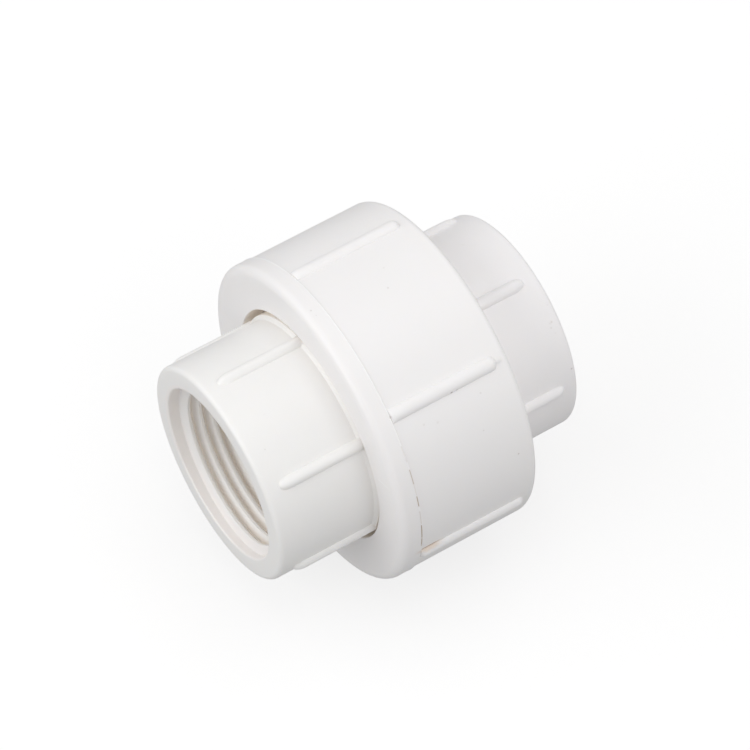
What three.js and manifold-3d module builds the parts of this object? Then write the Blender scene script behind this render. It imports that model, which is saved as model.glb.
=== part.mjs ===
// A plastic pipe union, DN25: a tailpiece and a body with threaded sockets, the nut that draws them
// together, and the O-ring between them. It lies along X with the tailpiece towards -X.
// Millimetres, +Z up. The origin is on the pipe axis, halfway between the two end faces.
import * as THREE from "three";
import { mergeVertices } from "three/addons/utils/BufferGeometryUtils.js";
import Module from "manifold-3d";

const wasm = await Module();
wasm.setup();

// Lengths along the axis are distances from the front end face, unless a comment says otherwise.
const LENGTH = 63;
const FACETS = 30;
const ARC_STEPS = 3;
const GAP = 0.3; // between pieces that touch on the real fitting
const OVERRUN = 1; // how far a cutter runs past the face that it opens
const RUN_OUT = 0.1; // plain length between the end of a ridge and the next circle

// Threaded sockets, the same on both ends: a 1 inch parallel pipe thread, 11 to the inch.
const SOCKET_RADIUS = 21;
const SOCKET_EDGE = 0.9;
const MOUTH_ROUNDING = 1;
const SOCKET_DEPTH = 19.8;
const NECK_RADIUS = 14;
const PIPE_THREAD = {
  pitch: 2.309,
  base: 16.7,
  tip: 15.15,
  tipHalfWidth: 0.19,
  baseHalfWidth: 0.97,
  start: 2.05, // middle of the ridge where it begins
  startAngle: 160,
  turns: 7,
};

// Grip ribs on the sockets.
const RIB_COUNT = 6;
const SOCKET_RIB = { width: 2.4, top: 22, roundedEnd: 1 };
const SOCKET_RIB_START = 3;
const TAILPIECE_RIB_END = 20;
const TAILPIECE_RIB_ANGLE = 20.1; // of the first rib, from +Y towards +Z
const BODY_RIB_ANGLE = 48.5;

// Tailpiece: socket, journal for the nut, flange.
const JOURNAL_RADIUS = 21.7;
const JOURNAL_START = 19.3;
const JOURNAL_SLOPE = 0.6; // length of the slope up to the journal
const FLANGE_RADIUS = 26.1;
const FLANGE_FRONT = 24;
const FLANGE_BACK = 29;

// Nut.
const NUT_FRONT = 18.9;
const NUT_BACK = 47.1;
const NUT_BAND_RADIUS = 31.15; // in front of the mould line
const BARREL_FRONT_RADIUS = 31; // behind the mould line
const BARREL_BACK_RADIUS = 31.1;
const NUT_HOLE_RADIUS = 22.65;
const NUT_FRONT_ROUNDING = 1.6;
const NUT_BACK_ROUNDING = 1;
const NUT_FACE_DISH = 0.45; // how far the front face falls back towards the hole
const MOULD_LINE = 22.8;
const NUT_RIB = { width: 2.7, front: 31.85, back: 32, start: 23, end: 44.6, roundedEnd: 1 };
const NUT_RIB_ANGLE = 11.1;
const NUT_FACET_ANGLE = NUT_RIB_ANGLE + 180 / FACETS; // puts a whole facet under the nut
const NUT_BACK_CHAMFER = 1;

// The thread between the nut and the body. Both ridges share one helix, half a pitch apart.
const UNION_PITCH = 3;
const UNION_THREAD_PLAY = 0.35;
const BODY_THREAD = {
  pitch: UNION_PITCH,
  base: 26.1,
  tip: 27.8,
  tipHalfWidth: 0.35,
  baseHalfWidth: 1.05,
  start: 31,
  startAngle: 0,
  turns: 4,
};
const NUT_THREAD = {
  pitch: UNION_PITCH,
  base: BODY_THREAD.tip + UNION_THREAD_PLAY,
  tip: BODY_THREAD.base + UNION_THREAD_PLAY,
  tipHalfWidth: 0.3,
  baseHalfWidth: 1,
  start: BODY_THREAD.start - UNION_PITCH / 2,
  startAngle: 0,
  turns: 4,
};

// Body and seal.
const BODY_FRONT = FLANGE_BACK + GAP;
const SPINDLE_END = 44.2;
const SPINDLE_EDGE = 0.6;
const O_RING_RADIUS = 20;
const O_RING_SECTION = 1.4;
const GROOVE_WIDTH = 3.6;
const GROOVE_DEPTH = 2 * O_RING_SECTION + GAP;

const FADE_ANGLE = 60; // a ridge rises to its full height over this much of a turn

const turn = (degrees) => THREE.MathUtils.degToRad(degrees);

// Geometry to solid and back.

function solidOf(geometry) {
  const bare = geometry.clone();
  bare.deleteAttribute("normal");
  bare.deleteAttribute("uv");
  const merged = mergeVertices(bare, 1e-4);
  return new wasm.Manifold(
    new wasm.Mesh({
      numProp: 3,
      vertProperties: merged.getAttribute("position").array,
      triVerts: new Uint32Array(merged.index.array),
    }),
  );
}

function meshOf(name, solid, material) {
  const { vertProperties, triVerts } = solid.getMesh();
  const geometry = new THREE.BufferGeometry();
  geometry.setAttribute("position", new THREE.BufferAttribute(vertProperties, 3));
  geometry.setIndex(new THREE.BufferAttribute(triVerts, 1));
  geometry.computeVertexNormals();
  const mesh = new THREE.Mesh(geometry, material);
  mesh.name = name;
  return mesh;
}

// A solid of revolution about X. The outline is a list of [x, radius] from low x to high x, and
// starts and ends on the axis. The middle of one facet lies at the given angle.
function turned(outline, facetAngle = 0) {
  const points = outline.map(([x, radius]) => new THREE.Vector2(radius, x));
  const geometry = new THREE.LatheGeometry(points, FACETS);
  geometry.rotateZ(-Math.PI / 2);
  geometry.rotateX(turn(facetAngle + 180 / FACETS));
  return solidOf(geometry);
}

// Points on a circular arc, as [x, radius], from one angle to another. Angle 0 points along +x and
// 90 away from the axis.
function arc(x, radius, size, from, to) {
  const points = [];
  for (let i = 0; i <= ARC_STEPS; i++) {
    const angle = turn(from + ((to - from) * i) / ARC_STEPS);
    points.push([x + size * Math.cos(angle), radius + size * Math.sin(angle)]);
  }
  return points;
}

// A solid of revolution about X with a helical ridge on it. before and after are outlines as in
// turned, from the axis to the thread's first circle and from its last circle to the axis.
function threaded(before, thread, after) {
  const positions = [];
  const triangles = [];
  const firstAngle = turn(thread.startAngle);

  function vertex(x, radius, station) {
    const angle = firstAngle + (2 * Math.PI * station) / FACETS;
    positions.push(x, radius * Math.cos(angle), radius * Math.sin(angle));
    return positions.length / 3 - 1;
  }

  // A full circle of vertices, or the one vertex on the axis.
  function circle([x, radius]) {
    const ring = [];
    const count = radius > 0 ? FACETS : 1;
    for (let i = 0; i < count; i++) ring.push(vertex(x, radius, i));
    return ring;
  }

  const at = (ring, i) => ring[i % ring.length];

  function triangle(a, b, c) {
    if (a !== b && b !== c && c !== a) triangles.push(a, b, c);
  }

  function quad(a, b, c, d) {
    triangle(a, b, c);
    triangle(a, c, d);
  }

  function joinCircles(low, high) {
    for (let i = 0; i < FACETS; i++) {
      quad(at(low, i), at(low, i + 1), at(high, i + 1), at(high, i));
    }
  }

  // The ridge's cross-section at every station along the helix, as four vertices.
  const stations = thread.turns * FACETS;
  const fadeStations = (FADE_ANGLE / 360) * FACETS;
  const offsets = [
    -thread.baseHalfWidth,
    -thread.tipHalfWidth,
    thread.tipHalfWidth,
    thread.baseHalfWidth,
  ];
  const heights = [0, 1, 1, 0];
  const last = offsets.length - 1;
  const ridge = [];
  for (let i = 0; i <= stations; i++) {
    const middle = thread.start + (thread.pitch * i) / FACETS;
    const rise = Math.min(1, i / fadeStations, (stations - i) / fadeStations);
    ridge.push(
      offsets.map((offset, k) => {
        const radius = thread.base + (thread.tip - thread.base) * heights[k] * rise;
        return vertex(middle + offset, radius, i);
      }),
    );
  }
  for (let i = 0; i < stations; i++) {
    for (let k = 0; k < last; k++) {
      quad(ridge[i][k], ridge[i + 1][k], ridge[i + 1][k + 1], ridge[i][k + 1]);
    }
  }
  for (let i = 0; i + FACETS < stations; i++) {
    const next = i + FACETS;
    quad(ridge[i][last], ridge[i + 1][last], ridge[next + 1][0], ridge[next][0]);
  }

  // From the last circle before the thread to the first turn of the helix.
  const low = before.map(circle);
  for (let i = 1; i < low.length; i++) joinCircles(low[i - 1], low[i]);
  const entry = low[low.length - 1];
  for (let i = 0; i < FACETS - 1; i++) {
    quad(entry[i], entry[i + 1], ridge[i + 1][0], ridge[i][0]);
  }
  const entryHub = ridge[FACETS - 1][0];
  triangle(entry[FACETS - 1], entry[0], entryHub);
  const entrySeam = [entry[0], ...ridge[0], ridge[FACETS][0]];
  for (let k = 1; k < entrySeam.length; k++) {
    triangle(entrySeam[k - 1], entrySeam[k], entryHub);
  }

  // From the last turn of the helix to the first circle after the thread.
  const high = after.map(circle);
  for (let i = 1; i < high.length; i++) joinCircles(high[i - 1], high[i]);
  const exit = high[0];
  const lastTurn = stations - FACETS;
  for (let i = 1; i < FACETS; i++) {
    const a = lastTurn + i;
    quad(ridge[a][last], ridge[a + 1][last], at(exit, i + 1), exit[i]);
  }
  const exitHub = ridge[lastTurn + 1][last];
  const exitSeam = [ridge[lastTurn][last], ...ridge[stations], exit[0]];
  for (let k = 1; k < exitSeam.length; k++) {
    triangle(exitSeam[k - 1], exitHub, exitSeam[k]);
  }
  triangle(exit[0], exitHub, exit[1]);

  const geometry = new THREE.BufferGeometry();
  geometry.setAttribute("position", new THREE.Float32BufferAttribute(positions, 3));
  geometry.setIndex(triangles);
  return solidOf(geometry);
}

// One rib along X, standing out along +Y: a side view in x and radius, given its width.
function rib(sideView, width) {
  const shape = new THREE.Shape(sideView.map(([x, radius]) => new THREE.Vector2(x, radius)));
  const geometry = new THREE.ExtrudeGeometry(shape, { depth: width, bevelEnabled: false });
  geometry.translate(0, 0, -width / 2);
  return geometry;
}

// The ribs spread evenly round the axis, joined to a solid.
function withRibs(solid, geometry, firstAngle) {
  let joined = solid;
  for (let i = 0; i < RIB_COUNT; i++) {
    const placed = geometry.clone().rotateX(turn(firstAngle + (360 / RIB_COUNT) * i));
    joined = joined.add(solidOf(placed));
  }
  return joined;
}

// Side view of a socket rib from its rounded end, near the socket's face, to the given length.
function socketRib(end) {
  const root = SOCKET_RADIUS - OVERRUN;
  const { top, roundedEnd, width } = SOCKET_RIB;
  const shoulder = SOCKET_RIB_START + roundedEnd;
  const sideView = [
    [SOCKET_RIB_START, root],
    ...arc(shoulder, top - roundedEnd, roundedEnd, 180, 90),
    [end, top],
    [end, root],
  ];
  return rib(sideView, width);
}

// The space inside a socket, from past its mouth at 0, through the thread and the neck, to a length.
function socketBore(length) {
  const mouth = PIPE_THREAD.base + MOUTH_ROUNDING;
  const before = [
    [-OVERRUN, 0],
    [-OVERRUN, mouth],
    ...arc(MOUTH_ROUNDING, mouth, MOUTH_ROUNDING, 180, 270),
  ];
  const ridgeEnd = PIPE_THREAD.start + PIPE_THREAD.turns * PIPE_THREAD.pitch;
  const after = [
    [ridgeEnd + PIPE_THREAD.baseHalfWidth + RUN_OUT, PIPE_THREAD.base],
    [SOCKET_DEPTH, PIPE_THREAD.base],
    [SOCKET_DEPTH, NECK_RADIUS],
    [length, NECK_RADIUS],
    [length, 0],
  ];
  return threaded(before, PIPE_THREAD, after);
}

function tailpiece() {
  const outside = turned([
    [0, 0],
    ...arc(SOCKET_EDGE, SOCKET_RADIUS - SOCKET_EDGE, SOCKET_EDGE, 180, 90),
    [JOURNAL_START, SOCKET_RADIUS],
    [JOURNAL_START + JOURNAL_SLOPE, JOURNAL_RADIUS],
    [FLANGE_FRONT, JOURNAL_RADIUS],
    [FLANGE_FRONT, FLANGE_RADIUS],
    [FLANGE_BACK, FLANGE_RADIUS],
    [FLANGE_BACK, 0],
  ], TAILPIECE_RIB_ANGLE);
  return withRibs(outside, socketRib(TAILPIECE_RIB_END), TAILPIECE_RIB_ANGLE)
    .subtract(socketBore(FLANGE_BACK + OVERRUN));
}

function unionNut() {
  const outside = turned([
    [NUT_FRONT + NUT_FACE_DISH, 0],
    [NUT_FRONT + NUT_FACE_DISH, NUT_HOLE_RADIUS],
    ...arc(
      NUT_FRONT + NUT_FRONT_ROUNDING,
      NUT_BAND_RADIUS - NUT_FRONT_ROUNDING,
      NUT_FRONT_ROUNDING,
      180,
      90,
    ),
    [MOULD_LINE, NUT_BAND_RADIUS],
    [MOULD_LINE, BARREL_FRONT_RADIUS],
    ...arc(
      NUT_BACK - NUT_BACK_ROUNDING,
      BARREL_BACK_RADIUS - NUT_BACK_ROUNDING,
      NUT_BACK_ROUNDING,
      90,
      0,
    ),
    [NUT_BACK, 0],
  ], NUT_FACET_ANGLE);
  const { width, front, back, start, end, roundedEnd } = NUT_RIB;
  const root = BARREL_FRONT_RADIUS - OVERRUN;
  const sideView = [
    [start, root],
    [start, front],
    ...arc(end - roundedEnd, back - roundedEnd, roundedEnd, 90, 0),
    [end, root],
  ];
  const wallBack = FLANGE_FRONT - GAP;
  const ridgeEnd = NUT_THREAD.start + NUT_THREAD.turns * NUT_THREAD.pitch;
  const inside = threaded(
    [
      [NUT_FRONT - OVERRUN, 0],
      [NUT_FRONT - OVERRUN, NUT_HOLE_RADIUS],
      [wallBack, NUT_HOLE_RADIUS],
      [wallBack, NUT_THREAD.base],
    ],
    NUT_THREAD,
    [
      [ridgeEnd + NUT_THREAD.baseHalfWidth + RUN_OUT, NUT_THREAD.base],
      [NUT_BACK - NUT_BACK_CHAMFER, NUT_THREAD.base],
      [NUT_BACK + OVERRUN, NUT_THREAD.base + NUT_BACK_CHAMFER + OVERRUN],
      [NUT_BACK + OVERRUN, 0],
    ],
  );
  return withRibs(outside, rib(sideView, width), NUT_RIB_ANGLE).subtract(inside);
}

function unionBody() {
  const ridgeEnd = BODY_THREAD.start + BODY_THREAD.turns * BODY_THREAD.pitch;
  const spindle = threaded(
    [
      [BODY_FRONT, 0],
      [BODY_FRONT, BODY_THREAD.base - SPINDLE_EDGE],
      [BODY_FRONT + SPINDLE_EDGE, BODY_THREAD.base],
    ],
    BODY_THREAD,
    [
      [ridgeEnd + BODY_THREAD.baseHalfWidth + RUN_OUT, BODY_THREAD.base],
      [SPINDLE_END, BODY_THREAD.base],
      [SPINDLE_END, 0],
    ],
  );
  const socket = turned([
    [BODY_FRONT + OVERRUN, 0],
    [BODY_FRONT + OVERRUN, SOCKET_RADIUS],
    ...arc(LENGTH - SOCKET_EDGE, SOCKET_RADIUS - SOCKET_EDGE, SOCKET_EDGE, 90, 0),
    [LENGTH, 0],
  ], BODY_RIB_ANGLE);
  // A socket drawn from its own face at 0 is turned about Z to become the rear one.
  const atRear = (geometry) => geometry.rotateZ(Math.PI).translate(LENGTH, 0, 0);
  const ribs = atRear(socketRib(LENGTH - SPINDLE_END + OVERRUN).rotateX(Math.PI));
  const bore = socketBore(LENGTH - BODY_FRONT + OVERRUN).rotate([0, 0, 180]).translate([LENGTH, 0, 0]);
  const grooveInner = O_RING_RADIUS - GROOVE_WIDTH / 2;
  const grooveOuter = O_RING_RADIUS + GROOVE_WIDTH / 2;
  const groove = turned([
    [BODY_FRONT - OVERRUN, 0],
    [BODY_FRONT - OVERRUN, grooveOuter],
    [BODY_FRONT + GROOVE_DEPTH, grooveOuter],
    [BODY_FRONT + GROOVE_DEPTH, 0],
  ]).subtract(turned([
    [BODY_FRONT - 2 * OVERRUN, 0],
    [BODY_FRONT - 2 * OVERRUN, grooveInner],
    [BODY_FRONT + GROOVE_DEPTH + OVERRUN, grooveInner],
    [BODY_FRONT + GROOVE_DEPTH + OVERRUN, 0],
  ]));
  return withRibs(spindle.add(socket), ribs, BODY_RIB_ANGLE).subtract(bore).subtract(groove);
}

function oRing() {
  const geometry = new THREE.TorusGeometry(O_RING_RADIUS, O_RING_SECTION, 8, FACETS);
  geometry.rotateY(Math.PI / 2);
  geometry.translate(BODY_FRONT + O_RING_SECTION, 0, 0);
  return solidOf(geometry);
}

const socketPlastic = new THREE.MeshStandardMaterial({ color: 0xf0eee8, roughness: 0.45, metalness: 0 });
const nutPlastic = new THREE.MeshStandardMaterial({ color: 0xf3f4f4, roughness: 0.45, metalness: 0 });
const rubber = new THREE.MeshStandardMaterial({ color: 0x1c1c1c, roughness: 0.7, metalness: 0 });

const fromFrontFace = new THREE.Group();
fromFrontFace.position.x = -LENGTH / 2;
fromFrontFace.add(
  meshOf("tailpiece", tailpiece(), socketPlastic),
  meshOf("union_nut", unionNut(), nutPlastic),
  meshOf("union_body", unionBody(), socketPlastic.clone()),
  meshOf("o_ring", oRing(), rubber),
);

const union = new THREE.Group();
union.name = "pipe_union";
union.add(fromFrontFace);

export default union;
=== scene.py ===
"""A white plastic pipe union lying on a pale studio floor.

Every piece is a fine closed surface, built ring by ring round the pipe axis in place of its CAD node.
Lengths are in millimetres until a mesh is made. s is the distance along the axis from the fitting's
front end face, r the distance from the axis, and angles run in degrees from +Y towards +Z.
"""
import math

import bpy
import numpy as np
from mathutils import Matrix, Vector


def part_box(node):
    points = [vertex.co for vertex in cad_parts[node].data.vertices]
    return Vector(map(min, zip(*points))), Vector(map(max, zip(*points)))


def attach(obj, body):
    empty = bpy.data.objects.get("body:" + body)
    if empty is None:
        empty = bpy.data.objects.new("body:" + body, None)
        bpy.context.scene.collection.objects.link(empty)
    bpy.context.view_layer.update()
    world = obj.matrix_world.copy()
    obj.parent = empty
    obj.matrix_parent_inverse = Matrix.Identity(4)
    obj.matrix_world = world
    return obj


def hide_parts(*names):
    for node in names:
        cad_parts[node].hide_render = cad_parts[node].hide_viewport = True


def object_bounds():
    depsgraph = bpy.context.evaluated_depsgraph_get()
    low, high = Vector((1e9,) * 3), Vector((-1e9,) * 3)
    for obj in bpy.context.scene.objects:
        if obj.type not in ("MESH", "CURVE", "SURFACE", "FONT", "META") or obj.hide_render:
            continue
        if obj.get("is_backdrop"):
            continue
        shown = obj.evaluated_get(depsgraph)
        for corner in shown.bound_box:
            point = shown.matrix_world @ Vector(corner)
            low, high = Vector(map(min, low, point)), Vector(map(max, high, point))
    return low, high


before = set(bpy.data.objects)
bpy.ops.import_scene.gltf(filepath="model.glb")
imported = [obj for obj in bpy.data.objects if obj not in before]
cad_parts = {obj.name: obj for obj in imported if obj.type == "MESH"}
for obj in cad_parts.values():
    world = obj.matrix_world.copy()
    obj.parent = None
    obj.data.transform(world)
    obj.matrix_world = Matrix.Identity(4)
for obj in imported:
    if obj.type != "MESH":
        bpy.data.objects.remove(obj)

MM = 0.001

cad_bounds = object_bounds()
FRONT_X = cad_bounds[0][0] / MM


def along(x):
    """The distance from the front end face of a place given in the frame's metres."""
    return x / MM - FRONT_X


# Lengths that the frame gives.
LENGTH = along(cad_bounds[1][0])
FLANGE_BACK = along(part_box("tailpiece")[1][0])
NUT_FRONT = along(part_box("union_nut")[0][0])
NUT_BACK = along(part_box("union_nut")[1][0])
BODY_FRONT = along(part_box("union_body")[0][0])
O_RING_WIDTH = along(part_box("o_ring")[1][0]) - along(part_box("o_ring")[0][0])

# Threaded sockets, the same at both ends.
SOCKET_RADIUS = 21.0
SOCKET_EDGE = 0.9
SOCKET_DEPTH = 19.8
SOCKET_FLOOR_EDGE = 0.2
MOUTH_ROUNDING = 0.4
MOUTH_MARGIN = 0.08
PIPE_THREAD = {"pitch": 2.309, "base": 16.7, "tip": 15.15, "tip_half": 0.14, "base_half": 1.12}
PIPE_THREAD_START = 2.12
PIPE_THREAD_ANGLE = 160.0
PIPE_THREAD_TURNS = 7
PIPE_THREAD_END = PIPE_THREAD_START + PIPE_THREAD_TURNS * PIPE_THREAD["pitch"] + 1.1

# The neck between the sockets, and the tailpiece's journal and flange.
NECK_RADIUS = 14.0
NECK_EDGE = 0.4
JOURNAL_RADIUS = 21.7
JOURNAL_START = 19.3
JOURNAL_FILLET = 0.15
JOURNAL_CHAMFER = 0.45
JOURNAL_EDGE = 0.2
FLANGE_RADIUS = 26.1
FLANGE_FRONT = 24.0
FLANGE_FILLET = 0.5
FLANGE_EDGE = 0.4

# Nut. Its front face is dished towards the hole, and its band ends in a raised mould line.
NUT_BAND_RADIUS = 31.15
BARREL_FRONT_RADIUS = 31.0
BARREL_BACK_RADIUS = 31.1
NUT_HOLE_RADIUS = 22.65
NUT_FRONT_ROUNDING = 1.6
NUT_BACK_ROUNDING = 1.0
NUT_FACE_DISH = 0.45
NUT_HOLE_EDGE = 0.12
NUT_WALL_BACK = 23.7
NUT_WALL_FILLET = 0.5
NUT_TAIL_CHAMFER = 0.9
MOULD_LINE = 22.8
MOULD_LINE_RISE = 0.05

# The thread between the nut and the body, and the body's spindle and seal groove.
BODY_THREAD = {"pitch": 3.0, "base": 26.1, "tip": 27.8, "tip_half": 0.3, "base_half": 1.1}
NUT_THREAD = {"pitch": 3.0, "base": 28.15, "tip": 26.45, "tip_half": 0.25, "base_half": 1.05}
BODY_THREAD_START = 31.0
NUT_THREAD_START = 29.5
NUT_THREAD_RELIEF = 1.2
UNION_THREAD_TURNS = 4
SPINDLE_END = 44.2
SPINDLE_EDGE = 0.6
SPINDLE_FILLET = 1.5
GROOVE_INNER = 18.2
GROOVE_OUTER = 21.8
GROOVE_DEPTH = 3.1
GROOVE_FILLET = 0.4
O_RING_RADIUS = 20.0

# Ribs: six round each piece. A nut rib starts at start_height of its full height, and gains growth of it
# over its slope.
RIB_COUNT = 6
RIB_PITCH = 360.0 / RIB_COUNT
SOCKET_RIB = {"half": 1.2, "top": 22.0, "start": 3.0, "nose": 2.4}
NUT_RIB = {
    "half": 1.35, "top": 31.85, "back_top": 32.0,
    "start": 22.95, "start_height": 0.45, "growth": 0.6, "slope": 0.7, "end": 44.6, "nose": 1.2,
}
TAILPIECE_RIB_ANGLE = 20.1
TAILPIECE_RIB_END = 20.0
NUT_RIB_ANGLE = 11.1
BODY_RIB_ANGLE = 48.5
NUT_NIB = {"angle": 131.1, "start": 44.0, "end": 45.9, "half": 0.55, "rise": 0.3}

# How far the tailpiece hangs off the axis of the nut, in the play between them: along Y and Z.
SAG = (-0.25, -0.15)

# How finely the surfaces are divided. A ring a margin away from an edge keeps the flat beside it flat.
MARGIN = 0.1
ARC_STEPS = 7
EVEN_ANGLES = np.arange(240) * 360.0 / 240
SHARP_ANGLE = 40.0
SOCKET_EDGE_STEP = 0.8
SOCKET_STEP = 2.5
BARREL_STEP = 3.0
NIB_STEP = 0.22
RIB_SAMPLES = (0.0, 0.22, 0.42, 0.58, 0.7, 0.8, 0.88, 0.94, 0.98, 1.0, 1.03, 1.12, 1.3)
NOSE_SAMPLES = (0.0, 0.26, 0.46, 0.62, 0.74, 0.83, 0.9, 0.95, 0.985, 1.0)
SLOPE_SAMPLES = (0.04, 0.15, 0.35, 0.6, 0.8)
RIDGE_SAMPLES = (0.0, 0.2, 0.38, 0.54, 0.7, 0.86, 1.0)


def smooth(t):
    """Rises from 0 to 1 with no slope at either end."""
    t = np.clip(t, 0.0, 1.0)
    return t * t * (3.0 - 2.0 * t)


def wrap(angle):
    """The same angle, from -180 up to 180."""
    return (angle + 180.0) % 360.0 - 180.0


def arc(s, r, radius, start, end, steps=ARC_STEPS):
    """Points (s, r) on an arc about a centre; 0 degrees points along +s, 90 away from the axis."""
    angles = np.radians(np.linspace(start, end, steps + 1))
    return [(s + radius * math.cos(a), r + radius * math.sin(a)) for a in angles]


def spread(start, end, step):
    """Even values from start to end, no further apart than step."""
    count = max(1, math.ceil(abs(end - start) / step))
    return list(np.linspace(start, end, count + 1))


def both_sides(samples):
    """Samples that go outwards from 0, with their mirror image before them."""
    return [-t for t in reversed(samples[1:])] + list(samples)


class Skin:
    """The closed surface of one piece, whose axis may lie off the fitting's, by an offset along Y and Z."""

    def __init__(self, offset=(0.0, 0.0)):
        self.points = []
        self.faces = []
        self.offset = offset

    def point(self, s, r, angle):
        """Adds a vertex; the angle is in radians."""
        y, z = self.offset
        self.points.append((FRONT_X + s, y + r * math.cos(angle), z + r * math.sin(angle)))
        return len(self.points) - 1

    def ring(self, angles, s, r):
        """A circle of vertices. r is a number, or an array with one for each angle."""
        radii = np.broadcast_to(r, len(angles))
        return [self.point(s, radius, angle) for angle, radius in zip(np.radians(angles), radii)]

    def even_rings(self, rows):
        """A circle of evenly spread vertices for each (s, r)."""
        return [self.ring(EVEN_ANGLES, s, r) for s, r in rows]

    def face(self, corners, outward=True):
        """Adds a face, with its corners in the opposite order if it lines a hole."""
        self.faces.append(tuple(corners) if outward else tuple(reversed(corners)))

    def bands(self, rings, outward=True):
        """Joins each ring to the next; all have the same angles."""
        n = len(rings[0])
        for low, high in zip(rings, rings[1:]):
            for i in range(n):
                j = (i + 1) % n
                self.face((low[i], low[j], high[j], high[i]), outward)

    def annulus(self, low, low_angles, high, high_angles):
        """Joins two rings with one band of triangles, whatever their angles."""
        gaps = wrap(low_angles - high_angles[0])
        first = int(np.argmin(np.abs(gaps)))
        low = low[first:] + low[:first]
        low_turn = high_angles[0] + gaps[first] + (np.roll(low_angles, -first) - low_angles[first]) % 360.0
        low_turn = np.append(low_turn, low_turn[0] + 360.0)
        high_turn = np.append(high_angles, high_angles[0] + 360.0)
        i = j = 0
        while i < len(low) or j < len(high):
            here = (low[i % len(low)], high[j % len(high)])
            if j == len(high) or (i < len(low) and low_turn[i + 1] <= high_turn[j + 1]):
                i += 1
                self.face((here[0], low[i % len(low)], here[1]))
            else:
                j += 1
                self.face((here[0], high[j % len(high)], here[1]))

    def ridge(self, first, shape, start, turns):
        """Rows of vertices across a right-hand helical ridge, one for each column that it passes.

        The ridge rises from its base radius to its tip, and runs out over a sixth of a turn at each end.
        """
        run_out = 60.0
        fullness = 0.8
        half = shape["base_half"]
        offsets = np.array(both_sides(RIDGE_SAMPLES)) * half
        climb = (half - np.abs(offsets)) / (half - shape["tip_half"])
        heights = (shape["tip"] - shape["base"]) * smooth(climb) ** fullness
        rows = []
        for k in range(turns * len(EVEN_ANGLES) + 1):
            laps, i = divmod(first + k, len(EVEN_ANGLES))
            turned = EVEN_ANGLES[i] + 360.0 * laps - EVEN_ANGLES[first]
            middle = start + shape["pitch"] * turned / 360.0
            rise = float(smooth(min(turned, 360.0 * turns - turned) / run_out))
            radii = shape["base"] + heights * rise
            angle = math.radians(EVEN_ANGLES[i])
            rows.append([self.point(middle + o, radius, angle) for o, radius in zip(offsets, radii)])
        return rows

    def thread(self, before, after, shape, start, start_angle, turns, outward=True):
        """A helical ridge between two even rings, with the flat root between its turns."""
        n = len(EVEN_ANGLES)
        first = int(np.argmin(np.abs(wrap(EVEN_ANGLES - start_angle))))
        rows = self.ridge(first, shape, start, turns)
        last = len(rows[0]) - 1
        for a, b in zip(rows, rows[1:]):
            for k in range(last):
                self.face((a[k], b[k], b[k + 1], a[k + 1]), outward)
        for a, b, c, d in zip(rows, rows[1:], rows[n + 1:], rows[n:]):
            self.face((a[last], b[last], c[0], d[0]), outward)

        # The plain wall before the first turn, with a fan over the step where the helix starts.
        low = [before[(first + k) % n] for k in range(n + 1)]
        for k in range(n - 1):
            self.face((low[k], low[k + 1], rows[k + 1][0], rows[k][0]), outward)
        hub = rows[n - 1][0]
        self.face((low[n - 1], low[n], hub), outward)
        seam = [low[n]] + rows[0] + [rows[n][0]]
        for a, b in zip(seam, seam[1:]):
            self.face((a, b, hub), outward)

        # The plain wall after the last turn, with a fan over the step where the helix ends.
        high = [after[(first + k) % n] for k in range(n + 1)]
        top = rows[-n - 1:]
        for k in range(1, n):
            self.face((top[k][last], top[k + 1][last], high[k + 1], high[k]), outward)
        hub = top[1][last]
        seam = [top[0][last]] + rows[-1] + [high[0]]
        for a, b in zip(seam, seam[1:]):
            self.face((a, hub, b), outward)
        self.face((high[0], hub, high[1]), outward)

    def piece(self, name, body, node, material, slot):
        """Makes the mesh, and puts it in the place of its CAD node."""
        mesh = bpy.data.meshes.new(name)
        mesh.from_pydata([Vector(p) * MM for p in self.points], [], self.faces)
        mesh.validate()
        mesh.polygons.foreach_set("use_smooth", [True] * len(mesh.polygons))
        mesh.set_sharp_from_angle(angle=math.radians(SHARP_ANGLE))
        mesh.materials.append(material)
        obj = bpy.data.objects.new(name, mesh)
        bpy.context.scene.collection.objects.link(obj)
        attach(obj, body)
        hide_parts(node)


# Ribs.

def rib_angles(first_angle, half_width, radius):
    """Angles for one turn: close together across each rib, and further apart between them."""
    widest_step = 3.2
    half = math.degrees(half_width / radius)
    across = both_sides([t * half for t in RIB_SAMPLES])
    one = across + spread(across[-1], RIB_PITCH + across[0], widest_step)[1:-1]
    return np.array([first_angle + RIB_PITCH * k + a for k in range(RIB_COUNT) for a in one])


def rib_height(angles, first_angle, half_width, radius, beyond=0.0, nose=1.0):
    """How much of its full height a rib has at each angle, beyond millimetres past its nose's start."""
    roundness = 0.65
    off = (angles - first_angle + RIB_PITCH / 2) % RIB_PITCH - RIB_PITCH / 2
    across = np.radians(np.abs(off)) * radius / half_width
    t = np.hypot(across, max(0.0, beyond) / nose)
    return np.maximum(0.0, 1.0 - t ** 2.0) ** roundness


def socket_rib_rise(angles, rib_angle, beyond=0.0):
    """How far a socket's ribs stand out at each angle."""
    height = rib_height(angles, rib_angle, SOCKET_RIB["half"], SOCKET_RADIUS, beyond, SOCKET_RIB["nose"])
    return (SOCKET_RIB["top"] - SOCKET_RADIUS) * height


def nib_rise(angles, s):
    """The stub of moulding flash that trails behind one of the nut's ribs."""
    if s <= NUT_NIB["start"]:
        return 0.0
    across = np.radians(np.abs(angles - NUT_NIB["angle"])) * BARREL_BACK_RADIUS / NUT_NIB["half"]
    gone = (s - NUT_NIB["start"]) / (NUT_NIB["end"] - NUT_NIB["start"])
    return NUT_NIB["rise"] * np.maximum(0.0, 1.0 - across ** 2) * max(0.0, 1.0 - gone ** 3)


# Sockets, whose rows of (s, r) run from the end face inwards.

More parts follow.
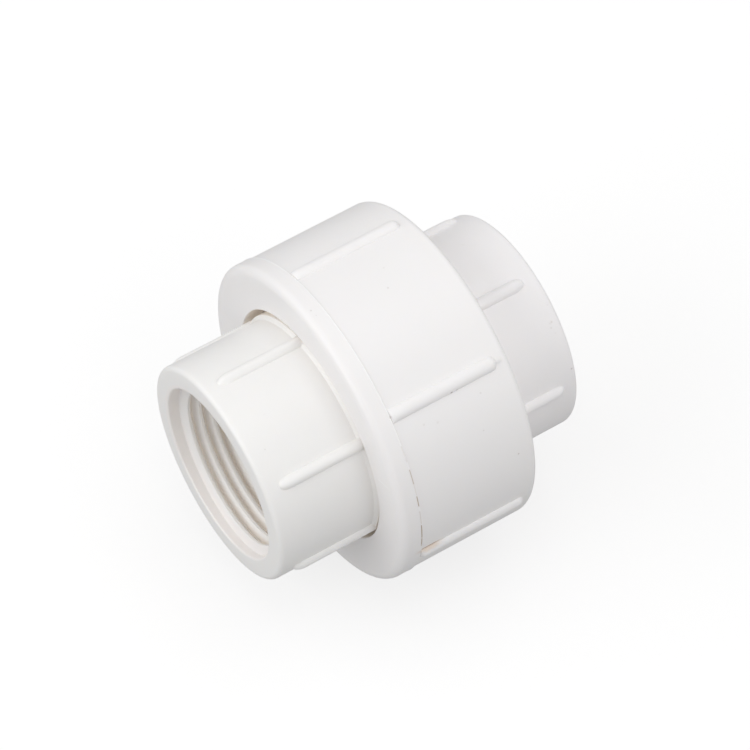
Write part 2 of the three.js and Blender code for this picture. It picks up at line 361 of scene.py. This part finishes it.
def socket_outside(skin, rib_angle, end, flip=False):
    """Rings over a ribbed socket, from its rounded edge to a distance from its face."""
    angles = rib_angles(rib_angle, SOCKET_RIB["half"], SOCKET_RADIUS)
    nose_end = SOCKET_RIB["start"] + SOCKET_RIB["nose"]
    places = spread(SOCKET_EDGE, SOCKET_RIB["start"], SOCKET_EDGE_STEP)[1:-1]
    places += [nose_end - SOCKET_RIB["nose"] * t for t in reversed(NOSE_SAMPLES)]
    places += spread(nose_end, end, SOCKET_STEP)[1:]
    rows = arc(SOCKET_EDGE, SOCKET_RADIUS - SOCKET_EDGE, SOCKET_EDGE, 180, 90)
    rows += [(s, SOCKET_RADIUS) for s in places]
    rings = []
    for s, r in rows:
        radii = r + socket_rib_rise(angles, rib_angle, nose_end - s)
        rings.append(skin.ring(angles, LENGTH - s if flip else s, radii))
    return angles, rings


MOUTH_RADIUS = PIPE_THREAD["base"] + MOUTH_ROUNDING
MOUTH = [(0.0, MOUTH_RADIUS + MOUTH_MARGIN)] + arc(MOUTH_ROUNDING, MOUTH_RADIUS, MOUTH_ROUNDING, 180, 270)
SOCKET_FLOOR = [
    (PIPE_THREAD_END, PIPE_THREAD["base"]),
    (SOCKET_DEPTH - SOCKET_FLOOR_EDGE, PIPE_THREAD["base"]),
    (SOCKET_DEPTH, PIPE_THREAD["base"] - SOCKET_FLOOR_EDGE),
    (SOCKET_DEPTH, NECK_RADIUS + NECK_EDGE),
    (SOCKET_DEPTH + 0.3, NECK_RADIUS),
]


def tailpiece_surface():
    """The front socket, the journal that the nut turns on, and the flange that it pulls on."""
    skin = Skin(SAG)
    fillet_s = JOURNAL_START - JOURNAL_FILLET
    angles, rings = socket_outside(skin, TAILPIECE_RIB_ANGLE, fillet_s)
    shoulder = (JOURNAL_START + JOURNAL_CHAMFER, JOURNAL_RADIUS - JOURNAL_EDGE)
    outline = arc(fillet_s, SOCKET_RADIUS + JOURNAL_FILLET, JOURNAL_FILLET, 270, 315, 3)[1:]
    outline += [shoulder] + arc(shoulder[0] + 0.14, shoulder[1], JOURNAL_EDGE, 135, 90, 3)
    outline += [(TAILPIECE_RIB_END, JOURNAL_RADIUS)]
    ribbed = SOCKET_RADIUS + socket_rib_rise(angles, TAILPIECE_RIB_ANGLE)
    rings += [skin.ring(angles, s, np.maximum(r, ribbed)) for s, r in outline]
    outline = [
        (TAILPIECE_RIB_END + MARGIN / 2, JOURNAL_RADIUS),
        (FLANGE_FRONT - FLANGE_FILLET - MARGIN, JOURNAL_RADIUS),
    ]
    outline += arc(FLANGE_FRONT - FLANGE_FILLET, JOURNAL_RADIUS + FLANGE_FILLET, FLANGE_FILLET, 270, 360, 4)
    outline += [(FLANGE_FRONT, FLANGE_RADIUS - FLANGE_EDGE - MARGIN)]
    outline += arc(FLANGE_FRONT + FLANGE_EDGE, FLANGE_RADIUS - FLANGE_EDGE, FLANGE_EDGE, 180, 90, 4)
    outline += arc(FLANGE_BACK - FLANGE_EDGE, FLANGE_RADIUS - FLANGE_EDGE, FLANGE_EDGE, 90, 0, 4)
    outline += [(FLANGE_BACK, FLANGE_RADIUS - FLANGE_EDGE - 2 * MARGIN)]
    rings += [skin.ring(angles, s, r) for s, r in outline]
    skin.bands(rings)

    mouth = skin.even_rings(MOUTH)
    neck = skin.even_rings(SOCKET_FLOOR + [
        (FLANGE_BACK - NECK_EDGE, NECK_RADIUS),
        (FLANGE_BACK, NECK_RADIUS + NECK_EDGE),
        (FLANGE_BACK, NECK_RADIUS + NECK_EDGE + MARGIN),
    ])
    skin.bands(mouth, outward=False)
    skin.bands(neck, outward=False)
    skin.thread(mouth[-1], neck[0], PIPE_THREAD, PIPE_THREAD_START,
                PIPE_THREAD_ANGLE, PIPE_THREAD_TURNS, outward=False)
    skin.annulus(mouth[0], EVEN_ANGLES, rings[0], angles)
    skin.annulus(rings[-1], angles, neck[-1], EVEN_ANGLES)
    return skin


def body_surface():
    """The rear socket, the spindle that the nut screws on to, and the seat with the seal's groove."""
    skin = Skin()
    root = BODY_THREAD["base"]
    fillet_s = SPINDLE_END + SPINDLE_FILLET
    angles, rings = socket_outside(skin, BODY_RIB_ANGLE, LENGTH - fillet_s - MARGIN, flip=True)
    fillet = arc(fillet_s, SOCKET_RADIUS + SPINDLE_FILLET, SPINDLE_FILLET, 270, 180)[1:]
    ribbed = SOCKET_RADIUS + socket_rib_rise(angles, BODY_RIB_ANGLE)
    rings += [skin.ring(angles, s, np.maximum(r, ribbed)) for s, r in fillet]
    rings.append(skin.ring(angles, SPINDLE_END, root - SPINDLE_EDGE))
    rings.reverse()
    skin.bands(rings)

    groove_s = BODY_FRONT + GROOVE_DEPTH - GROOVE_FILLET
    front = [
        (BODY_FRONT, NECK_RADIUS + NECK_EDGE + MARGIN),
        (BODY_FRONT, GROOVE_INNER - MARGIN),
        (BODY_FRONT + MARGIN, GROOVE_INNER),
        (groove_s + MARGIN, GROOVE_INNER),
    ]
    front += arc(groove_s, GROOVE_INNER + GROOVE_FILLET, GROOVE_FILLET, 270, 360, 3)
    front += arc(groove_s, GROOVE_OUTER - GROOVE_FILLET, GROOVE_FILLET, 0, 90, 3)
    front += [
        (BODY_FRONT + MARGIN, GROOVE_OUTER),
        (BODY_FRONT, GROOVE_OUTER + MARGIN),
        (BODY_FRONT, root - SPINDLE_EDGE - MARGIN),
    ]
    front += arc(BODY_FRONT + SPINDLE_EDGE, root - SPINDLE_EDGE, SPINDLE_EDGE, 180, 90, 4)
    face = skin.even_rings(front)
    spindle = skin.even_rings([
        (SPINDLE_END - MARGIN / 2, root),
        (SPINDLE_END, root - MARGIN / 2),
    ])
    skin.bands(face)
    skin.bands(spindle)
    skin.thread(face[-1], spindle[0], BODY_THREAD, BODY_THREAD_START, 0.0, UNION_THREAD_TURNS)
    skin.annulus(spindle[-1], EVEN_ANGLES, rings[0], angles)

    neck = [face[0]] + skin.even_rings(
        [(BODY_FRONT + NECK_EDGE, NECK_RADIUS)] + [(LENGTH - s, r) for s, r in reversed(SOCKET_FLOOR)])
    mouth = skin.even_rings([(LENGTH - s, r) for s, r in reversed(MOUTH)])
    skin.bands(neck, outward=False)
    skin.bands(mouth, outward=False)
    start = LENGTH - PIPE_THREAD_START - PIPE_THREAD_TURNS * PIPE_THREAD["pitch"]
    skin.thread(neck[-1], mouth[0], PIPE_THREAD, start,
                180.0 - PIPE_THREAD_ANGLE, PIPE_THREAD_TURNS, outward=False)
    skin.annulus(rings[-1], angles, mouth[-1], EVEN_ANGLES)
    return skin


def nut_outside(skin, angles):
    """Rings over the nut from its front face, over the band and the ribbed barrel, to its rear face."""
    rounding = NUT_BAND_RADIUS - NUT_FRONT_ROUNDING
    rows = [(NUT_FRONT, rounding - 0.6), (NUT_FRONT, rounding - MARGIN)]
    rows += arc(NUT_FRONT + NUT_FRONT_ROUNDING, rounding, NUT_FRONT_ROUNDING, 180, 90)
    rows += [
        (MOULD_LINE - 0.3, NUT_BAND_RADIUS),
        (MOULD_LINE - 0.14, NUT_BAND_RADIUS + 0.01),
        (MOULD_LINE - 0.06, NUT_BAND_RADIUS + MOULD_LINE_RISE),
        (MOULD_LINE + 0.02, NUT_BAND_RADIUS + MOULD_LINE_RISE),
        (MOULD_LINE + 0.1, BARREL_FRONT_RADIUS + 0.02),
        (NUT_RIB["start"], BARREL_FRONT_RADIUS - 0.02),
    ]
    rings = [skin.ring(angles, s, r) for s, r in rows]

    barrel_end = NUT_BACK - NUT_BACK_ROUNDING
    slope_end = NUT_RIB["start"] + NUT_RIB["slope"]
    nose_start = NUT_RIB["end"] - NUT_RIB["nose"]
    places = [NUT_RIB["start"] + NUT_RIB["slope"] * t for t in SLOPE_SAMPLES]
    places += spread(slope_end, nose_start, BARREL_STEP)
    places += [nose_start + NUT_RIB["nose"] * t for t in NOSE_SAMPLES[1:]]
    places += spread(NUT_RIB["end"], NUT_NIB["end"], NIB_STEP)[1:] + [barrel_end]
    for s in places:
        t = (s - MOULD_LINE) / (barrel_end - MOULD_LINE)
        base = BARREL_FRONT_RADIUS + (BARREL_BACK_RADIUS - BARREL_FRONT_RADIUS) * t
        top = NUT_RIB["top"] + (NUT_RIB["back_top"] - NUT_RIB["top"]) * t
        height = rib_height(angles, NUT_RIB_ANGLE, NUT_RIB["half"], BARREL_FRONT_RADIUS,
                            s - nose_start, NUT_RIB["nose"])
        risen = (s - NUT_RIB["start"]) / NUT_RIB["slope"]
        height = height * min(1.0, NUT_RIB["start_height"] + NUT_RIB["growth"] * risen)
        rings.append(skin.ring(angles, s, base + np.maximum((top - base) * height, nib_rise(angles, s))))

    back = arc(barrel_end, BARREL_BACK_RADIUS - NUT_BACK_ROUNDING, NUT_BACK_ROUNDING, 90, 0)[1:]
    return rings + [skin.ring(angles, s, r) for s, r in back]


def nut_surface():
    """The nut, with its hole in front and its thread behind."""
    skin = Skin()
    angles = rib_angles(NUT_RIB_ANGLE, NUT_RIB["half"], BARREL_FRONT_RADIUS)
    rings = nut_outside(skin, angles)
    skin.bands(rings)

    root = NUT_THREAD["base"]
    edge_s = NUT_FRONT + NUT_FACE_DISH + NUT_HOLE_EDGE
    hole = skin.even_rings(arc(edge_s, NUT_HOLE_RADIUS + NUT_HOLE_EDGE, NUT_HOLE_EDGE, 180, 270, 4) + [
        (NUT_WALL_BACK - 2 * MARGIN, NUT_HOLE_RADIUS),
        (NUT_WALL_BACK, NUT_HOLE_RADIUS + 2 * MARGIN),
        (NUT_WALL_BACK, root - NUT_WALL_FILLET),
        (NUT_WALL_BACK + NUT_WALL_FILLET, root),
        (NUT_THREAD_START - NUT_THREAD_RELIEF, root),
    ])
    tail = skin.even_rings([
        (NUT_THREAD_START + UNION_THREAD_TURNS * NUT_THREAD["pitch"] + NUT_THREAD_RELIEF, root),
        (NUT_BACK - NUT_TAIL_CHAMFER - MARGIN, root),
        (NUT_BACK - MARGIN, root + NUT_TAIL_CHAMFER),
        (NUT_BACK, root + NUT_TAIL_CHAMFER + MARGIN),
    ])
    skin.bands(hole, outward=False)
    skin.bands(tail, outward=False)
    skin.thread(hole[-1], tail[0], NUT_THREAD, NUT_THREAD_START, 0.0, UNION_THREAD_TURNS, outward=False)
    skin.annulus(hole[0], EVEN_ANGLES, rings[0], angles)
    skin.annulus(rings[-1], angles, tail[-1], EVEN_ANGLES)
    return skin


def o_ring_surface():
    """The seal, round in section, in the body's groove."""
    skin = Skin()
    section = O_RING_WIDTH / 2
    rings = skin.even_rings(arc(BODY_FRONT + section, O_RING_RADIUS, section, 180, -180, 24)[:-1])
    skin.bands(rings + rings[:1])
    return skin


# Shader nodes.

def node(tree, kind, inputs=None, **settings):
    """Adds a shader node, with its settings, and its inputs by name: a value, or a socket to link."""
    made = tree.nodes.new(kind)
    for key, value in settings.items():
        setattr(made, key, value)
    for key, value in (inputs or {}).items():
        if isinstance(value, bpy.types.NodeSocket):
            tree.links.new(value, made.inputs[key])
        else:
            made.inputs[key].default_value = value
    return made


def noise(tree, place, scale, detail):
    """Smooth noise, from about 0.3 to 0.7; scale is in patches to the metre."""
    inputs = {"Vector": place, "Scale": scale, "Detail": detail}
    return node(tree, "ShaderNodeTexNoise", inputs).outputs["Fac"]


def math_node(tree, operation, *values):
    """A math node's result; each value is a number or a socket to link."""
    return node(tree, "ShaderNodeMath", dict(enumerate(values)), operation=operation).outputs[0]


def times(tree, *factors):
    """The product of masks and numbers, the first of them a mask."""
    product = factors[0]
    for factor in factors[1:]:
        product = math_node(tree, "MULTIPLY", product, factor)
    return product


def ramp(tree, value, low, high):
    """A value from 0 to 1, as one from low to high."""
    return node(tree, "ShaderNodeMapRange", {"Value": value, "To Min": low, "To Max": high}).outputs["Result"]


def fade(tree, value, full, gone):
    """A mask that falls smoothly from 1 to 0 as a value goes from full to gone, up or down."""
    return node(tree, "ShaderNodeMapRange", {
        "Value": value, "From Min": full, "From Max": gone, "To Min": 1.0, "To Max": 0.0,
    }, interpolation_type="SMOOTHSTEP").outputs["Result"]


def near(tree, value, middle, half, soft):
    """A mask: 1 where a value is within half of the middle, and 0 a soft step further off."""
    distance = math_node(tree, "ABSOLUTE", math_node(tree, "SUBTRACT", value, middle))
    return fade(tree, distance, half, half + soft)


def polar(tree, place):
    """s, r and the angle of a place, as sockets."""
    axes = node(tree, "ShaderNodeSeparateXYZ", {"Vector": place}).outputs
    s = math_node(tree, "MULTIPLY_ADD", axes["X"], 1 / MM, -FRONT_X)
    squares = [math_node(tree, "MULTIPLY", axes[axis], axes[axis]) for axis in "YZ"]
    r = math_node(tree, "POWER", math_node(tree, "ADD", *squares), 0.5)
    angle = math_node(tree, "DEGREES", math_node(tree, "ARCTAN2", axes["Z"], axes["Y"]))
    return s, math_node(tree, "DIVIDE", r, MM), math_node(tree, "WRAP", angle, 360.0, 0.0)


def at(s, r, angle):
    """A place in the mesh, in metres."""
    turn = math.radians(angle)
    return Vector((FRONT_X + s, r * math.cos(turn), r * math.sin(turn))) * MM


def blend(tree, factor, under, over):
    """Lays a colour over another; each is a colour or a socket."""
    mixed = node(tree, "ShaderNodeMix", {"Factor": factor}, data_type="RGBA")
    for socket, value in (("A", under), ("B", over)):
        if isinstance(value, bpy.types.NodeSocket):
            tree.links.new(value, mixed.inputs[socket])
        else:
            mixed.inputs[socket].default_value = (*value, 1.0)
    return mixed.outputs["Result"]


def spots(tree, place, marks):
    """Small marks, each (s, r, angle, size in millimetres, strength), as one mask."""
    mask = 0.0
    for s, r, angle, size, strength in marks:
        distance = node(tree, "ShaderNodeVectorMath", {0: place, 1: at(s, r, angle)}, operation="DISTANCE")
        mark = times(tree, fade(tree, distance.outputs["Value"], 0.0, size * MM), strength)
        mask = math_node(tree, "MAXIMUM", mask, mark)
    return mask


def new_material(name):
    """A material, its node tree, its shader and the place on the object as a socket."""
    material = bpy.data.materials.new(name)
    material.use_nodes = True
    tree = material.node_tree
    place = node(tree, "ShaderNodeTexCoord").outputs["Object"]
    return material, tree, tree.nodes["Principled BSDF"], place


# Plastic. Light that has soaked through several millimetres of it comes out warm; that warm light is painted
# into the colour of the bore, the thread's grooves, the journal and the nut's hidden inside.

# Painted warm light and shade for the bore, the thread's grooves, the journal and the nut's inside.
PAINTED_WARM_LIGHT = (0.95, 0.9, 0.845)
# Painted cool shade: a bluish cast laid over the whole rear socket.
PAINTED_COOL_SHADE = (0.955, 0.935, 0.942)
# Painted shade, rosy and darker, for the wall just inside the mouth.
PAINTED_MOUTH_SHADE = (0.95, 0.914, 0.895)
# White for a painted highlight along the mould line, and for a pale scratch on the face.
HIGHLIGHT_AND_SCRATCH_WHITE = (1.0, 1.0, 1.0)
SPECK_BROWN = (0.25, 0.18, 0.13)
DIRT_BROWN = (0.36, 0.23, 0.14)
STAIN_ORANGE = (0.66, 0.47, 0.3)
STAIN_BROWN = (0.3, 0.17, 0.09)

# How much painted warm light the bore has, how much more its thread's grooves have, and the journal.
BORE_WARM_LIGHT = 0.1
GROOVE_WARM_LIGHT = 0.8
JOURNAL_WARM_LIGHT = 0.6

# Stretches of dirt along the nut's mould line: the middle angle, half the length in degrees, the strength.
MOULD_LINE_DIRT = (
    (144.0, 2.5, 0.2), (152.5, 2.4, 0.6), (157.5, 2.0, 0.2),
    (162.2, 1.7, 0.85), (169.5, 2.6, 0.3), (178.8, 5.4, 0.95),
)

# Small marks: s, r, angle, size, strength.
NUT_MARKS = (
    (20.8, 31.0, 88.0, 0.3, 0.45), (21.0, 31.1, 90.5, 0.2, 0.2), (20.4, 31.0, 103.0, 0.2, 0.2),
    (34.6, 31.0, 93.5, 0.28, 0.25), (36.4, 31.0, 86.0, 0.3, 0.12), (39.8, 31.0, 138.0, 0.3, 0.2),
    (34.8, 31.3, 133.3, 0.4, 0.7), (35.9, 31.3, 133.3, 0.4, 0.3),
    (43.5, 31.1, 165.0, 0.3, 0.35), (38.0, 31.1, 150.0, 0.25, 0.2), (22.9, 31.3, 131.2, 0.4, 0.35),
    (23.0, 31.2, 137.8, 0.25, 0.45), (NUT_FRONT, 26.4, 113.0, 0.25, 0.2), (NUT_FRONT, 25.1, 128.0, 0.25, 0.3),
    (NUT_FRONT, 26.3, 208.0, 0.3, 0.2), (19.2, 30.0, 139.0, 0.2, 0.2), (28.0, 31.0, 138.5, 0.35, 0.12),
    (30.5, 31.0, 140.0, 0.4, 0.1),
)
SOCKET_MARKS = (
    (3.5, 21.0, 122.0, 0.25, 0.15), (13.0, 21.0, 166.0, 0.3, 0.2), (6.5, 21.0, 107.0, 0.2, 0.1),
    (61.2, 21.0, 132.0, 0.35, 0.2), (60.8, 21.0, 132.3, 0.3, 0.12), (60.7, 21.0, 134.5, 0.3, 0.15),
    (61.1, 21.0, 137.7, 0.3, 0.06), (61.9, 21.0, 123.7, 0.3, 0.08), (62.1, 20.95, 159.2, 0.3, 0.4),
    (55.7, 21.0, 73.7, 0.4, 0.06),
)


def socket_tones(tree, place, color):
    """A cooler rear socket and a rosy wall inside the mouth, both painted shade, and painted warm light in
    the bore, its thread's grooves and the journal.
    """
    s, r, _ = polar(tree, place)
    base = PIPE_THREAD["base"]
    # Painted cool shade: the rear socket is tinted bluish, as its shaded side looks.
    color = blend(tree, fade(tree, s, NUT_BACK, NUT_BACK - 1.0), color, PAINTED_COOL_SHADE)
    # Painted warm light in the bore, stronger in the thread's grooves, and on the journal hidden inside the
    # nut.
    bore = fade(tree, r, base + 0.3, base + 0.8)
    groove = times(tree, fade(tree, r, base - 0.1, base - 0.9), fade(tree, s, 3.6, 2.6))
    warm_light = times(tree, bore, math_node(tree, "MULTIPLY_ADD", groove, GROOVE_WARM_LIGHT, BORE_WARM_LIGHT))
    journal = times(tree, near(tree, s, NUT_FRONT + 4.6, 3.4, 0.6), JOURNAL_WARM_LIGHT)
    color = blend(tree, math_node(tree, "MAXIMUM", warm_light, journal), color, PAINTED_WARM_LIGHT)
    # Painted rosy shade on the plain wall inside the mouth, before the thread starts.
    mouth = times(tree, bore, fade(tree, s, 2.1, 2.5))
    return blend(tree, mouth, color, PAINTED_MOUTH_SHADE)


def nut_tones(tree, place, color):
    """Painted warm light inside, a painted highlight along the top of the mould line with brown dirt in it, a
    scratch on the face, a stain by a rib.
    """
    s, r, angle = polar(tree, place)
    # Painted warm light on the nut's hidden inside.
    hidden = near(tree, s, (NUT_FRONT + NUT_BACK) / 2, (NUT_BACK - NUT_FRONT) / 2 - 1.0, 0.4)
    color = blend(tree, times(tree, hidden, fade(tree, r, 28.4, 28.8)), color, PAINTED_WARM_LIGHT)

    # Painted highlight: a white line along the mould line, only on the upper side where the light falls.
    painted_highlight = times(tree, near(tree, s, MOULD_LINE - 0.04, 0.04, 0.08), near(tree, angle, 85.0, 45.0, 15.0))
    color = blend(tree, painted_highlight, color, HIGHLIGHT_AND_SCRATCH_WHITE)
    dirt = 0.0
    for middle, half, strength in MOULD_LINE_DIRT:
        dirt = math_node(tree, "MAXIMUM", dirt, times(tree, near(tree, angle, middle, half, 0.8), strength))
    worn = fade(tree, noise(tree, place, 700.0, 2.0), 0.44, 0.3)
    dirt = times(tree, dirt, near(tree, s, MOULD_LINE - 0.14, 0.01, 0.13), worn)
    color = blend(tree, dirt, color, DIRT_BROWN)

    face = fade(tree, s, NUT_FRONT + 0.6, NUT_FRONT + 0.8)
    scratch = times(tree, near(tree, angle, 155.4, 0.12, 0.2), near(tree, r, 26.6, 1.6, 0.5), face)
    color = blend(tree, scratch, color, HIGHLIGHT_AND_SCRATCH_WHITE)

    flank = near(tree, angle, NUT_RIB_ANGLE + 177.4, 0.2, 1.3)
    stain = times(tree, flank, near(tree, s, NUT_RIB["start"] + 1.6, 0.5, 3.0), 0.5)
    color = blend(tree, stain, color, STAIN_ORANGE)
    rib_foot = near(tree, angle, NUT_RIB_ANGLE + 176.9, 0.1, 0.35)
    line = times(tree, rib_foot, near(tree, s, NUT_RIB["start"] + 1.8, 0.6, 2.4), 0.6)
    return blend(tree, line, color, STAIN_BROWN)


def plastic(name, tint, roughness, seed, tones, marks):
    """Moulded uPVC: a faint cloudy tone and orange-peel skin, its piece's tones, and small dark marks."""
    material, tree, shader, place = new_material(name)
    shifted = node(tree, "ShaderNodeMapping", {"Vector": place, "Location": (seed, 0, 0)}).outputs["Vector"]
    clouds = noise(tree, shifted, 60.0, 3.0)
    color = blend(tree, clouds, [c * 0.99 for c in tint], [c * 1.005 for c in tint])
    color = tones(tree, place, color)
    color = blend(tree, spots(tree, place, marks), color, SPECK_BROWN)
    tree.links.new(color, shader.inputs["Base Color"])
    tree.links.new(ramp(tree, clouds, roughness - 0.04, roughness + 0.04), shader.inputs["Roughness"])
    peel = noise(tree, shifted, 900.0, 2.0)
    bump = node(tree, "ShaderNodeBump", {"Height": peel, "Strength": 0.1, "Distance": 0.0002})
    tree.links.new(bump.outputs["Normal"], shader.inputs["Normal"])
    shader.inputs["IOR"].default_value = 1.53
    shader.inputs["Subsurface Weight"].default_value = 0.15
    shader.inputs["Subsurface Radius"].default_value = (1.0, 0.9, 0.75)
    shader.inputs["Subsurface Scale"].default_value = 0.002
    return material


def rubber():
    """Matte black moulded rubber."""
    material, tree, shader, place = new_material("seal_rubber")
    grain = noise(tree, place, 800.0, 4.0)
    color = blend(tree, grain, (0.02, 0.02, 0.021), (0.045, 0.045, 0.046))
    tree.links.new(color, shader.inputs["Base Color"])
    tree.links.new(ramp(tree, grain, 0.55, 0.75), shader.inputs["Roughness"])
    bump = node(tree, "ShaderNodeBump", {"Height": grain, "Strength": 0.15, "Distance": 0.0002})
    tree.links.new(bump.outputs["Normal"], shader.inputs["Normal"])
    return material


# Studio.

FLOOR_REACH = 3.0
FLOOR_GREY = 0.4
FLOOR_GLOW = 0.62
LIGHT_DISTANCE = 0.95
LIGHT_SIZE = 0.7
WORLD_STRENGTH = 0.43
DIFFUSE_BOUNCES = 12

# Soft lights, by the direction that each comes from and its power in watts.
LIGHTS = (
    ("top", (0.0, 0.0, 1.0), 1.17),
    ("front_low", (-0.87, 0.0, 0.5), 2.77),
    ("side_high", (0.0, -0.5, 0.87), 0.64),
    ("side_low", (0.0, -0.87, 0.5), 1.07),
    ("far", (0.0, 0.87, 0.5), 0.17),
    ("far_front", (-0.61, 0.61, 0.5), 1.5),
    ("rear_high", (0.5, 0.0, 0.87), 0.4),
    ("rear", (0.87, 0.0, 0.5), 0.42),
    ("rear_side", (0.61, -0.61, 0.5), 0.81),
    ("rear_far", (0.61, 0.61, 0.5), 0.59),
)


def camera():
    """A long lens, looking down over the front end at the photograph's angle."""
    data = bpy.data.cameras.new("camera")
    data.sensor_width = 36.0
    data.lens = 175.8
    data.shift_x = -0.0016
    data.shift_y = -0.0024
    data.clip_end = 20.0
    obj = bpy.data.objects.new("camera", data)
    bpy.context.scene.collection.objects.link(obj)
    forward = Vector((0.3282, 0.4947, -0.8047)).normalized()
    up = Vector((0.4387, 0.6746, 0.5937))
    right = forward.cross(up).normalized()
    turned = Matrix((right, right.cross(forward), -forward)).transposed()
    place = Vector((FRONT_X - 180.23, -322.25, 529.06)) * MM
    obj.matrix_world = Matrix.Translation(place) @ turned.to_4x4()
    bpy.context.scene.camera = obj


def area_light(name, direction, power):
    """A soft light aimed at the origin."""
    data = bpy.data.lights.new(name, "AREA")
    data.shape = "RECTANGLE"
    data.size = LIGHT_SIZE
    data.size_y = LIGHT_SIZE
    data.energy = power
    obj = bpy.data.objects.new(name, data)
    bpy.context.scene.collection.objects.link(obj)
    obj.location = Vector(direction).normalized() * LIGHT_DISTANCE
    obj.rotation_euler = (-obj.location).to_track_quat("-Z", "Y").to_euler()


def studio_floor():
    """A pale sheet that glows enough to look white, and throws no light on the object."""
    floor_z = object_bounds()[0][2]
    corners = [(x * FLOOR_REACH, y * FLOOR_REACH, floor_z) for x, y in ((-1, -1), (1, -1), (1, 1), (-1, 1))]
    mesh = bpy.data.meshes.new("floor")
    mesh.from_pydata(corners, [], [(0, 1, 2, 3)])
    floor = bpy.data.objects.new("floor", mesh)
    bpy.context.scene.collection.objects.link(floor)
    material = bpy.data.materials.new("floor_paper")
    material.use_nodes = True
    shader = material.node_tree.nodes["Principled BSDF"]
    shader.inputs["Base Color"].default_value = (FLOOR_GREY, FLOOR_GREY, FLOOR_GREY, 1)
    shader.inputs["Roughness"].default_value = 0.9
    shader.inputs["Emission Color"].default_value = (1, 1, 1, 1)
    shader.inputs["Emission Strength"].default_value = FLOOR_GLOW
    mesh.materials.append(material)
    floor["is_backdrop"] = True
    floor.visible_diffuse = False
    floor.visible_glossy = False


def studio():
    """The floor, the lights and an even white surround; light bounces many times in the white bore."""
    studio_floor()
    for light in LIGHTS:
        area_light(*light)
    world = bpy.data.worlds.new("studio")
    world.use_nodes = True
    background = world.node_tree.nodes["Background"]
    background.inputs["Color"].default_value = (1, 1, 1, 1)
    background.inputs["Strength"].default_value = WORLD_STRENGTH
    bpy.context.scene.world = world
    bpy.context.scene.cycles.diffuse_bounces = DIFFUSE_BOUNCES
    bpy.context.scene.view_settings.view_transform = "Standard"


camera()
socket_white = plastic("socket_plastic", (0.94, 0.93, 0.915), 0.38, 0.31, socket_tones, SOCKET_MARKS)
nut_white = plastic("nut_plastic", (0.94, 0.922, 0.92), 0.34, 0.77, nut_tones, NUT_MARKS)
seal_black = rubber()
tailpiece_surface().piece("tailpiece_moulding", "tailpiece", "tailpiece", socket_white, "socket_plastic")
nut_surface().piece("nut_moulding", "union_nut", "union_nut", nut_white, "nut_plastic")
body_surface().piece("body_moulding", "union_body", "union_body", socket_white, "socket_plastic")
o_ring_surface().piece("seal_ring", "union_body", "o_ring", seal_black, "seal_rubber")
studio()
